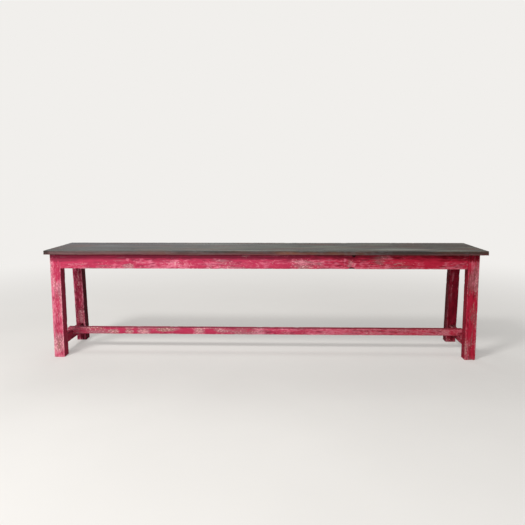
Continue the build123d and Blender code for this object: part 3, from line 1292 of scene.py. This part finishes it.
def cross_rail(end: End, rail: str, wall: float, wear: Wear, *notches: Block) -> Board:
    """A rail from a front leg to the back leg behind it.

    Args:
        end: The end of the bench at which it lies.
        rail: The rail's node, without the name of its end.
        wall: How much of the leg is left past its tenons.
        wear: How far it is worn.
        *notches: Any lap cut into it.

    Returns:
        The rail with its tenons, its back shoulder cut to the rake.
    """
    box_low, box_high = end.box(rail)
    low = (box_low.x, FRAME_FRONT + wall, box_low.z)
    high = (box_high.x, FRAME_BACK - wall, box_high.z)
    ends = (FRAME_FRONT + end.depth, FRAME_BACK - end.depth)
    cheek = (box_high.x - box_low.x - TENON_THICKNESS) / 2
    cuts = (*shoulders(Block(low, high), Axis.Y, ends, cheek), *notches)
    lean = (ends[1] - RAIL_TAKE_UP, ends[1])
    return Board(f"{end.name}_{rail}", low, high, Axis.Y, wear, cuts, runs_on=True, lean=lean)


def cross_pegs(node: str, rail: str, wall: float) -> Fixings:
    """A peg through each tenon of one kind of cross rail, driven from the legs' outward faces.

    Args:
        node: The pegs' node.
        rail: The rail's node, without the name of its end.
        wall: How much of the leg is left past the tenons.

    Returns:
        The set of four pegs.
    """
    places = []
    length = 0.0
    for end in ENDS:
        middle = middle_of(end.box(rail))
        inset = (end.depth + wall) / 2
        length = max(length, abs(end.outer - middle.x) + TENON_THICKNESS / 2 + PEG_PAST_TENON)
        aim = (float(end.side), 0.0, 0.0)
        places.append(((end.outer, FRAME_FRONT + inset, middle.z), aim))
        places.append(((end.outer, FRAME_BACK - inset + rake_at(middle.z), middle.z), aim))
    return Fixings(node, PEG, places, length)


@dataclass(frozen=True)
class Legs:
    """Four square legs, the back pair raked, with a mortise for each rail."""

    front_wear: Wear = Wear(rounding=0.0012, chips=0.0013, ripple=0.0004, unevenness=0.0003)
    back_wear: Wear = Wear(rounding=0.0012, chips=0.0011, ripple=0.0004, unevenness=0.0002)
    scars: dict[str, tuple[Scar, ...]] = field(default_factory=dict)
    flush_rim: float = 0.004
    step: float = 0.0024

    def mortises(self, end: End) -> list[Block]:
        """Cuts a front leg's mortises.

        Args:
            end: The end of the bench at which the leg stands.

        Returns:
            The mortises for the long apron, the end apron and the end stretcher.
        """
        shy = TENON_SHOULDER - CHEEK_CLEARANCE
        cheek = (APRON_THICKNESS - TENON_THICKNESS) / 2 - CHEEK_CLEARANCE
        x_low, x_high = end.span(end.width, LONG_APRON_WALL - END_CLEARANCE)
        near, far = FRAME_FRONT + cheek, FRAME_FRONT + APRON_THICKNESS - cheek
        blocks = [Block((x_low, near, APRON_BOTTOM + shy), (x_high, far, FRAME_TOP - shy))]
        half = TENON_THICKNESS / 2 + CHEEK_CLEARANCE
        for rail, wall in (("end_apron", END_APRON_WALL), ("end_stretcher", STRETCHER_WALL)):
            low, high = end.box(rail)
            middle = (low.x + high.x) / 2
            near, far = FRAME_FRONT + wall - END_CLEARANCE, FRAME_FRONT + end.depth
            corners = (middle - half, near, low.z + shy), (middle + half, far, high.z - shy)
            blocks.append(Block(*corners))
        return blocks

    def joints(self, end: End) -> list[Block]:
        """Finds the arrises of a front leg that lie flush with an apron, and so stay crisp.

        Args:
            end: The end of the bench at which the leg stands.

        Returns:
            A block about each such arris.
        """
        rim = self.flush_rim
        front, back = FRAME_FRONT, FRAME_FRONT + end.depth
        beside, behind = end.span(end.width, end.width - rim), end.span(0.0, rim)
        rims = ((beside, front, front + rim), (behind, back - rim, back))
        return [Block((x[0], near, APRON_BOTTOM), (x[1], far, FRAME_TOP)) for x, near, far in rims]

    def build(self, shop: Shop) -> None:
        """Makes the four legs.

        Args:
            shop: The trees and finishes to make them with.
        """
        for end in ENDS:
            x_low, x_high = end.span(0.0, end.width)
            blank = Block((x_low, FRAME_FRONT, 0.0), (x_high, FRAME_FRONT + end.depth, FRAME_TOP))
            for is_back in (False, True):
                node = f"{'back' if is_back else 'front'}_{end.name}_leg"
                leg = blank.in_row(is_back)
                board = Board(
                    node,
                    leg.low,
                    leg.high,
                    Axis.Z,
                    wear=self.back_wear if is_back else self.front_wear,
                    cuts=tuple(cut.in_row(is_back) for cut in self.mortises(end)),
                    scars=self.scars[node],
                    crisp=tuple(joint.in_row(is_back) for joint in self.joints(end)),
                    lean=LEANING if is_back else UPRIGHT,
                    step=self.step,
                )
                shop.make(board)


@dataclass(frozen=True)
class Aprons:
    """The four aprons under the seat, tenoned into the legs, with their pegs."""

    wear: Wear = Wear(rounding=0.0011, chips=0.0015, ripple=0.0004, unevenness=0.0003)
    front_scars: tuple[Scar, ...] = ()
    peg_length: float = 0.023

    def housings(self, face: float, deepest: float) -> list[Block]:
        """Cuts the housings for the two bearers into a long apron.

        Args:
            face: Where the apron's inner face lies.
            deepest: Where the housings end.

        Returns:
            The two housings.
        """
        near, far = sorted((face, deepest))
        blocks = []
        for low, high in (end.box("bearer") for end in ENDS):
            x_low, x_high = low.x - CHEEK_CLEARANCE, high.x + CHEEK_CLEARANCE
            blocks.append(Block((x_low, near, low.z), (x_high, far, FRAME_TOP)))
        return blocks

    def long_apron(self, is_back: bool) -> Board:
        """Lays out one of the two long aprons.

        Args:
            is_back: Whether it is the back one.

        Returns:
            The apron with its tenons and its housings.
        """
        outer, inward = (FRAME_BACK, -1.0) if is_back else (FRAME_FRONT, 1.0)
        inner = outer + inward * APRON_THICKNESS
        low = (ENDS[0].outer + LONG_APRON_WALL, min(outer, inner), APRON_BOTTOM)
        high = (ENDS[1].outer - LONG_APRON_WALL, max(outer, inner), FRAME_TOP)
        cheek = (APRON_THICKNESS - TENON_THICKNESS) / 2
        cuts = shoulders(Block(low, high), Axis.X, (ENDS[0].inner, ENDS[1].inner), cheek)
        cuts += self.housings(inner, inner - inward * HOUSING_DEPTH)
        return Board(
            "back_apron" if is_back else "front_apron",
            low,
            high,
            Axis.X,
            wear=self.wear,
            cuts=tuple(cuts),
            scars=() if is_back else self.front_scars,
            runs_on=True,
            lean=LEANING if is_back else UPRIGHT,
        )

    def long_pegs(self) -> Fixings:
        """Sets two pegs through each tenon of the long aprons.

        Returns:
            The set of eight pegs.
        """
        places = []
        for end in ENDS:
            x = (end.inner + end.outer - end.side * LONG_APRON_WALL) / 2
            for offset in (-PEG_SPREAD / 2, PEG_SPREAD / 2):
                z = (APRON_BOTTOM + FRAME_TOP) / 2 + offset
                places.append(((x, FRAME_FRONT, z), (0.0, -1.0, 0.0)))
                places.append(((x, FRAME_BACK + rake_at(z), z), (0.0, 1.0, 0.0)))
        return Fixings("long_apron_pegs", PEG, places, self.peg_length)

    def build(self, shop: Shop) -> None:
        """Makes the aprons and their pegs.

        Args:
            shop: The trees and finishes to make them with.
        """
        shop.make(self.long_apron(is_back=False))
        shop.make(self.long_apron(is_back=True))
        for end in ENDS:
            shop.make(cross_rail(end, "end_apron", END_APRON_WALL, self.wear))
        shop.make(self.long_pegs())
        shop.make(cross_pegs("end_apron_pegs", "end_apron", END_APRON_WALL))


@dataclass(frozen=True)
class Stretchers:
    """The H of low rails: one between the legs of each end, and a long one lapped over both."""

    wear: Wear = Wear(rounding=0.0014, chips=0.0014, ripple=0.0004, unevenness=0.0003)
    scars: tuple[Scar, ...] = ()
    nail_length: float = 0.034

    def build(self, shop: Shop) -> None:
        """Makes the stretchers, their pegs and the nails of their laps.

        Args:
            shop: The trees and finishes to make them with.
        """
        low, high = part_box("long_stretcher")
        laps = []
        for end in ENDS:
            rail_low, rail_high = end.box("end_stretcher")
            notch = Block((rail_low.x, low.y, LAP_BOTTOM), (rail_high.x, high.y, rail_high.z))
            shop.make(cross_rail(end, "end_stretcher", STRETCHER_WALL, self.wear, notch))
            laps.append(Block((rail_low.x, low.y, low.z), (rail_high.x, high.y, LAP_BOTTOM)))
        corners = (tuple(low), tuple(high))
        shop.make(Board("long_stretcher", *corners, Axis.X, self.wear, tuple(laps), self.scars))
        shop.make(cross_pegs("stretcher_pegs", "end_stretcher", STRETCHER_WALL))
        places = [(((end.inner + end.outer) / 2, (low.y + high.y) / 2, high.z), UP) for end in ENDS]
        shop.make(Fixings("lap_nails", NAIL, places, self.nail_length), Slot.IRON)


@dataclass(frozen=True)
class Bearers:
    """Two plain cross rails that carry the middle of the seat, housed in the long aprons."""

    wear: Wear = Wear(rounding=0.0008, chips=0.0006, ripple=0.0003, unevenness=0.0004)
    take_up: float = 0.04
    step: float = 0.003

    def build(self, shop: Shop) -> None:
        """Makes both bearers.

        Args:
            shop: The trees and finishes to make them with.
        """
        back = FRAME_BACK - APRON_THICKNESS + HOUSING_DEPTH - CHEEK_CLEARANCE
        fitted = {"runs_on": True, "lean": (back - self.take_up, back), "step": self.step}
        for end in ENDS:
            low, high = end.box("bearer")
            corners = (tuple(low), (high.x, back, high.z))
            board = Board(f"{end.name}_bearer", *corners, Axis.Y, self.wear, **fitted)
            shop.make(board, Slot.BARE_WOOD)


@dataclass(frozen=True)
class Seat:
    """One wide plank and the nails that hold it."""

    wear: Wear = Wear(rounding=0.0012, chips=0.0012, ripple=0.0004, unevenness=0.0004)
    scars: tuple[Scar, ...] = ()
    heart: Span = (0.02, -0.11)
    step: float = 0.0036
    nails_per_apron: int = 7
    nail_to_leg: float = 0.070
    bearer_nail_spread: float = 0.110
    nail_length: float = 0.042
    dimple: Point = (0.009, 0.009, 0.006)
    dimple_depth: float = 0.0005
    dimple_bareness: float = 0.25

    def nail_places(self) -> list[Point]:
        """Sets the nails over the long aprons, the end aprons and the bearers.

        Returns:
            The middle of each nail's head.
        """
        top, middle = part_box("seat_plank")[1].z, middle_of(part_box("seat_plank")).y
        first, last = ENDS[0].inner + self.nail_to_leg, ENDS[1].inner - self.nail_to_leg
        rows = (FRAME_FRONT + APRON_THICKNESS / 2, FRAME_BACK - APRON_THICKNESS / 2)
        columns = np.linspace(first, last, self.nails_per_apron)
        places = [(float(x), y, top) for y in rows for x in columns]
        places += [(end.outer - end.side * APRON_THICKNESS / 2, middle, top) for end in ENDS]
        half = self.bearer_nail_spread / 2
        bearers = [middle_of(end.box("bearer")).x for end in ENDS]
        return places + [(x, y, top) for x in bearers for y in (middle - half, middle + half)]

    def build(self, shop: Shop) -> None:
        """Makes the plank and its nails, each in a small dimple.

        Args:
            shop: The trees and finishes to make them with.
        """
        low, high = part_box("seat_plank")
        places = self.nail_places()
        dented = (self.dimple, self.dimple_depth, self.dimple_bareness, 0.0)
        scars = self.scars + tuple(Scar(place, *dented) for place in places)
        corners = (tuple(low), tuple(high))
        fitted = {"scars": scars, "heart": self.heart, "step": self.step}
        shop.make(Board("seat_plank", *corners, Axis.X, self.wear, **fitted), Slot.DARK_WOOD)
        driven = [(place, UP) for place in places]
        shop.make(Fixings("seat_nails", NAIL, driven, self.nail_length), Slot.IRON)


# ---- the setting ----


@dataclass(frozen=True)
class Lamp:
    """A round soft lamp: where it hangs, its width in metres and its power in watts."""

    name: str
    place: Point
    width: float
    power: float

    def build(self, aim: Point) -> None:
        """Hangs the lamp.

        Args:
            aim: The point that it shines at.
        """
        data = bpy.data.lights.new(self.name, "AREA")
        data.shape = "DISK"
        data.size = self.width
        data.energy = self.power
        lamp = placed(self.name, data)
        lamp.location = self.place
        lamp.rotation_euler = (Vector(aim) - Vector(self.place)).to_track_quat("-Z", "Y").to_euler()


@dataclass(frozen=True)
class Setting:
    """A plain pale floor that fades into a pale room, three soft lamps, and the camera."""

    pale: str = "F1EFEC"
    floor_tones: Pair = ("DAD7D2", "DFDCD7")
    floor_bounce: str = "8F8A84"
    floor_radius: float = 9.0
    floor_sides: int = 96
    fading: Span = (0.6, 3.6)
    least_glow: float = 0.35
    fill: float = 0.24
    lamps: tuple[Lamp, ...] = (
        Lamp("key_lamp", (-1.70, -2.50, 3.00), 0.95, 118.0),
        Lamp("front_lamp", (-0.70, -3.30, 1.00), 1.50, 36.0),
        Lamp("rear_lamp", (-0.50, 2.50, 2.80), 1.40, 28.0),
    )
    lamp_aim: Point = (-0.10, 0.0, 0.30)
    eye: Point = (0.0761, -2.4960, 0.7235)
    yaw: float = -0.03396
    pitch: float = -0.13546
    roll: float = -0.00236
    lens: float = 39.857
    film_width: float = 36.0

    def build(self) -> None:
        """Makes the room, the floor, the lamps and the camera."""
        self.room()
        self.floor()
        for lamp in self.lamps:
            lamp.build(self.lamp_aim)
        self.camera()

    def seen_directly(self, w: NodeWriter) -> Value:
        """One where the camera looks, also in a reflection or through glass, and zero for light."""
        path = w.outputs(w.add("ShaderNodeLightPath"))
        return w.most(*(path[f"Is {kind} Ray"] for kind in ("Camera", "Glossy", "Transmission")))

    def room(self) -> None:
        """Makes a world that looks pale and lights softly."""
        world = bpy.data.worlds.new("pale_room")
        world.use_nodes = True
        bpy.context.scene.world = world
        w = NodeWriter(world.node_tree)
        background = world.node_tree.nodes["Background"]
        w.feed(background.inputs["Color"], self.pale)
        w.feed(background.inputs["Strength"], w.between(self.seen_directly(w), self.fill, 1.0))

    def floor(self) -> None:
        """Makes a round floor that fades into the room's pale colour far from the bench."""
        turns = [math.tau * side / self.floor_sides for side in range(self.floor_sides)]
        radius = self.floor_radius
        mesh = bpy.data.meshes.new("floor")
        rim = [(radius * math.cos(turn), radius * math.sin(turn), 0.0) for turn in turns]
        mesh.from_pydata(rim, [], [range(len(rim))])
        floor = placed("floor", mesh)

        material = bpy.data.materials.new("pale_floor")
        material.use_nodes = True
        mesh.materials.append(material)
        w = NodeWriter(material.node_tree)
        shader = material.node_tree.nodes["Principled BSDF"]
        spot = w.outputs(w.add("ShaderNodeTexCoord"))["Object"]
        mottle = w.ramp(w.noise(spot, (2.0, 2.0, 2.0), 4.0), 0.3, 0.7)
        seen = self.seen_directly(w)
        tone = w.blend(seen, self.floor_bounce, w.blend(mottle, *self.floor_tones))
        w.feed(shader.inputs["Base Color"], tone)
        w.feed(shader.inputs["Roughness"], w.between(mottle, 0.7, 0.8))
        x, y, _ = w.split(spot)
        far = w.ramp(w.calc("SQRT", x * x + y * y), *self.fading, self.least_glow, 1.0) * seen
        glow = w.get("ShaderNodeEmission", {"Color": self.pale, "Strength": 1.0})
        mixed = w.get("ShaderNodeMixShader", {0: far, 1: Value(w, shader.outputs[0]), 2: glow})
        w.feed(material.node_tree.nodes["Material Output"].inputs["Surface"], mixed)

    def camera(self) -> None:
        """Makes the camera, low in front of the bench and turned a little to its left."""
        data = bpy.data.cameras.new("camera")
        data.lens = self.lens
        data.sensor_width = self.film_width
        data.sensor_fit = "HORIZONTAL"
        camera = placed("camera", data)
        tilted = Matrix.Rotation(math.pi / 2 + self.pitch, 4, "X")
        turned = Matrix.Rotation(-self.yaw, 4, "Z") @ tilted
        rolled = Matrix.Rotation(self.roll, 4, "Z")
        camera.matrix_world = Matrix.Translation(self.eye) @ turned @ rolled
        bpy.context.scene.camera = camera


# ---- wear placed one by one ----
# A row gives, in millimetres, a spot's place along X and Z, its reach along both and its depth, and
# then its bareness and its paleness. On the seat's top, Y takes the place of Z.

APRON_SPOTS = (
    (-680, 400, 200, 60, 0.0, 0.2, -0.4),
    (-640, 424, 70, 16, 0.0, -0.8, -0.2),
    (-705, 400, 40, 40, 0.0, -0.4, -0.3),
    (-608, 392, 45, 14, 0.0, 0.1, 0.9),
    (-559, 417, 12, 13, 0.3, 0.0, 1.2),
    (-553, 388, 36, 18, 0.8, 1.4, -0.5),
    (-495, 409, 50, 13, 0.0, 0.1, 0.8),
    (-460, 398, 30, 24, 0.0, 0.0, 0.9),
    (-383, 402, 70, 34, 0.2, 0.0, 0.5),
    (-365, 404, 34, 16, 0.3, 0.1, 0.8),
    (-270, 393, 40, 22, 0.0, -0.5, -0.7),
    (-185, 416, 28, 10, 0.4, 0.1, 1.2),
    (-133, 408, 14, 9, 0.4, 0.0, 1.2),
    (-150, 395, 50, 30, 0.0, 0.5, -0.4),
    (-60, 400, 40, 20, 0.0, 0.0, 0.4),
    (-75, 430, 30, 15, 0.6, 1.4, 0.5),
    (2, 397, 42, 13, 0.0, -0.3, 0.8),
    (87, 400, 34, 34, 0.0, -0.7, -0.6),
    (156, 406, 56, 24, 0.3, 0.5, 0.0),
    (156, 407, 9, 7, 0.8, 0.3, 1.2),
    (234, 403, 22, 11, 0.0, 0.0, 1.0),
    (170, 383, 60, 12, 0.6, 1.2, -0.6),
    (275, 383, 70, 12, 0.6, 0.3, 0.3),
    (290, 402, 60, 36, 0.0, -1.2, 0.4),
    (330, 412, 5, 30, 0.4, 0.1, 1.4),
    (350, 405, 18, 26, 0.6, 1.1, 0.1),
    (367, 397, 10, 9, 1.0, -0.5, 3.2),
    (358, 396, 18, 14, 0.0, 0.0, 1.4),
    (367, 434, 9, 11, 5.8, 0.2, -0.4),
    (359, 377, 14, 8, 5.0, 0.4, -0.4),
    (405, 402, 34, 34, 0.0, -0.5, 0.9),
    (472, 412, 36, 30, 0.5, 0.7, 0.2),
    (500, 386, 32, 12, 0.2, 0.2, 0.8),
    (500, 425, 32, 14, 0.0, 0.2, 1.6),
    (590, 402, 45, 20, 0.0, 0.1, -0.8),
    (561, 397, 50, 22, 0.3, 0.5, -0.2),
    (602, 381, 80, 8, 0.2, 0.1, 0.8),
    (680, 404, 50, 34, 0.0, -0.7, -1.1),
    (738, 410, 24, 14, 0.3, 0.0, 0.7),
    (775, 395, 60, 40, 0.0, -0.8, 0.3),
)
STRETCHER_SPOTS = (
    (-600, 83, 320, 60, 0.0, 0.5, -0.7),
    (-735, 83, 70, 60, 0.0, 0.6, -0.6),
    (-105, 83, 60, 40, 0.0, 0.7, -0.4),
    (-170, 83, 170, 50, 0.0, 0.3, -1.3),
    (290, 83, 90, 50, 0.0, 0.0, 0.5),
    (560, 83, 400, 60, 0.0, 0.0, 0.8),
    (-662, 79, 34, 12, 0.6, 1.3, 0.9),
    (-627, 86, 20, 30, 0.0, -0.6, -0.4),
    (-597, 78, 28, 11, 0.8, 1.4, 1.0),
    (-569, 86, 16, 30, 0.0, -0.7, -0.5),
    (-532, 79, 36, 13, 0.7, 1.3, 1.4),
    (-489, 83, 24, 30, 0.0, -0.2, 0.2),
    (-431, 87, 60, 11, 0.6, 1.5, 0.4),
    (-353, 79, 52, 20, 0.0, -0.9, -1.1),
    (-286, 83, 32, 20, 0.6, 1.0, 0.5),
    (-237, 78, 34, 18, 0.0, -0.8, -1.1),
    (-185, 87, 50, 10, 0.3, 0.8, 0.4),
    (-25, 83, 40, 22, 0.4, 0.6, 0.6),
    (60, 82, 40, 26, 0.0, -0.3, -0.5),
    (90, 74, 50, 8, 0.4, 1.0, -0.3),
    (270, 77, 36, 9, 0.3, 0.1, 1.3),
    (335, 82, 30, 20, 0.0, -0.3, 0.4),
    (460, 75, 40, 9, 0.3, 0.5, 1.3),
    (600, 86, 80, 14, 0.4, 0.6, 0.1),
    (779, 83, 30, 16, 0.6, 0.7, 0.8),
)
LEG_SPOTS = {
    "front_left_leg": (
        (-878, 220, 16, 300, 0.1, 0.0, 1.3),
        (-850, 352, 12, 50, 0.0, -0.2, -0.1),
        (-851, 302, 18, 34, 0.3, 0.3, 1.4),
        (-866, 310, 12, 50, 0.3, 0.5, 0.6),
        (-860, 290, 40, 200, 0.0, 0.3, 0.0),
        (-856, 210, 16, 80, 0.0, 0.1, 0.2),
        (-840, 190, 6, 140, 0.2, 0.1, 1.2),
        (-857, 125, 26, 70, 0.0, -0.8, 0.3),
        (-858, 60, 30, 50, 0.6, 1.3, 0.2),
        (-859, 12, 20, 14, 0.0, -0.2, 0.1),
    ),
    "front_right_leg": (
        (870, 382, 9, 40, 0.2, 0.0, 1.1),
        (848, 400, 18, 40, 0.0, -0.5, 0.9),
        (864, 312, 16, 60, 0.4, 0.8, 0.6),
        (848, 335, 22, 70, 0.3, 0.3, 0.8),
        (842, 250, 16, 24, 0.0, -1.0, -1.1),
        (848, 197, 20, 48, 0.3, 0.7, -0.3),
        (850, 110, 22, 48, 0.0, -0.6, -0.7),
        (842, 150, 60, 200, 0.0, 0.2, -0.3),
        (829, 45, 9, 50, 0.6, 0.8, 0.5),
        (854, 35, 18, 45, 0.0, -0.3, -0.8),
    ),
    "back_left_leg": (
        (-856, 270, 13, 90, 0.3, 0.5, -0.2),
        (-841, 250, 5, 110, 0.0, 0.0, 1.0),
        (-855, 115, 30, 50, 0.2, 0.9, -0.3),
        (-877, 210, 8, 70, 0.2, 0.0, 0.2),
    ),
    "back_right_leg": (
        (842, 310, 12, 34, 0.0, 0.0, 1.8),
        (838, 235, 9, 70, 0.0, 0.0, 2.0),
        (850, 240, 40, 400, 0.0, -0.3, -1.1),
    ),
}
SEAT_EDGE_SPOTS = (
    (-895, 445, 24, 22, 0.3, 0.0, -1.2),
    (-330, 443, 45, 13, 0.0, 0.0, -0.6),
    (-165, 450, 130, 7, 0.2, 0.0, -0.9),
    (100, 441, 70, 13, 0.4, 0.9, 0.3),
    (190, 441, 70, 10, 0.0, 0.6, 0.0),
    (290, 441, 70, 12, 0.3, 0.5, 0.0),
    (380, 442, 70, 11, 0.0, 0.3, 0.0),
    (600, 443, 130, 14, 0.0, 0.0, -0.6),
    (790, 445, 90, 15, 0.2, 0.2, -0.3),
)
SEAT_TOP_SPOTS = (
    (-700, -110, 170, 50, 0.2, 0.0, 0.5),
    (-700, 40, 70, 16, 0.0, 0.0, 0.9),
    (-600, 115, 40, 40, 0.2, 0.25, 0.0),
    (-548, -100, 16, 20, 0.3, 0.0, -1.0),
    # This spot's paleness paints a highlight just behind the front arris.
    (-65, -157, 200, 13, 0.2, 0.0, 1.2),
    (30, 50, 80, 16, 0.0, 0.1, 0.9),
    (85, -130, 90, 30, 0.0, 0.1, 0.6),
    # This spot's paleness paints a highlight near the front edge.
    (560, -105, 200, 60, 0.2, -0.3, 1.0),
    (740, 20, 300, 120, 0.0, 0.1, -0.7),
)


def scars_on(axis: Axis, face: float, spots: Spots) -> tuple[Scar, ...]:
    """Turns rows of spots into scars on one face.

    Args:
        axis: The axis that the face lies across.
        face: The face's place along that axis.
        spots: The rows.

    Returns:
        The scars.
    """
    scars = []
    for *lengths, bare, pale in spots:
        *places, depth = (length / 1000 for length in lengths)
        at, reach = places[:2], places[2:]
        at.insert(axis.value, face)
        reach.insert(axis.value, SPOT_THROUGH)
        scars.append(Scar(tuple(at), tuple(reach), depth, bare, pale))
    return tuple(scars)


def main() -> None:
    """Builds the bench's sub-assemblies in order, and then the setting."""
    logging.basicConfig(level=logging.INFO, format="%(message)s")
    bpy.context.scene.view_settings.view_transform = "Standard"

    shop = Shop.open()
    faces = {"front": FRAME_FRONT, "back": FRAME_BACK - ENDS[0].depth}
    leg_scars = {}
    for node, spots in LEG_SPOTS.items():
        leg_scars[node] = scars_on(Axis.Y, faces[node.split("_")[0]], spots)
    Legs(scars=leg_scars).build(shop)
    Aprons(front_scars=scars_on(Axis.Y, FRAME_FRONT, APRON_SPOTS)).build(shop)
    Stretchers(scars=scars_on(Axis.Y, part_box("long_stretcher")[0].y, STRETCHER_SPOTS)).build(shop)
    Bearers().build(shop)
    low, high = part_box("seat_plank")
    edge_scars = scars_on(Axis.Y, low.y, SEAT_EDGE_SPOTS)
    Seat(scars=edge_scars + scars_on(Axis.Z, high.z, SEAT_TOP_SPOTS)).build(shop)
    Setting().build()


if __name__ == "__main__":
    main()
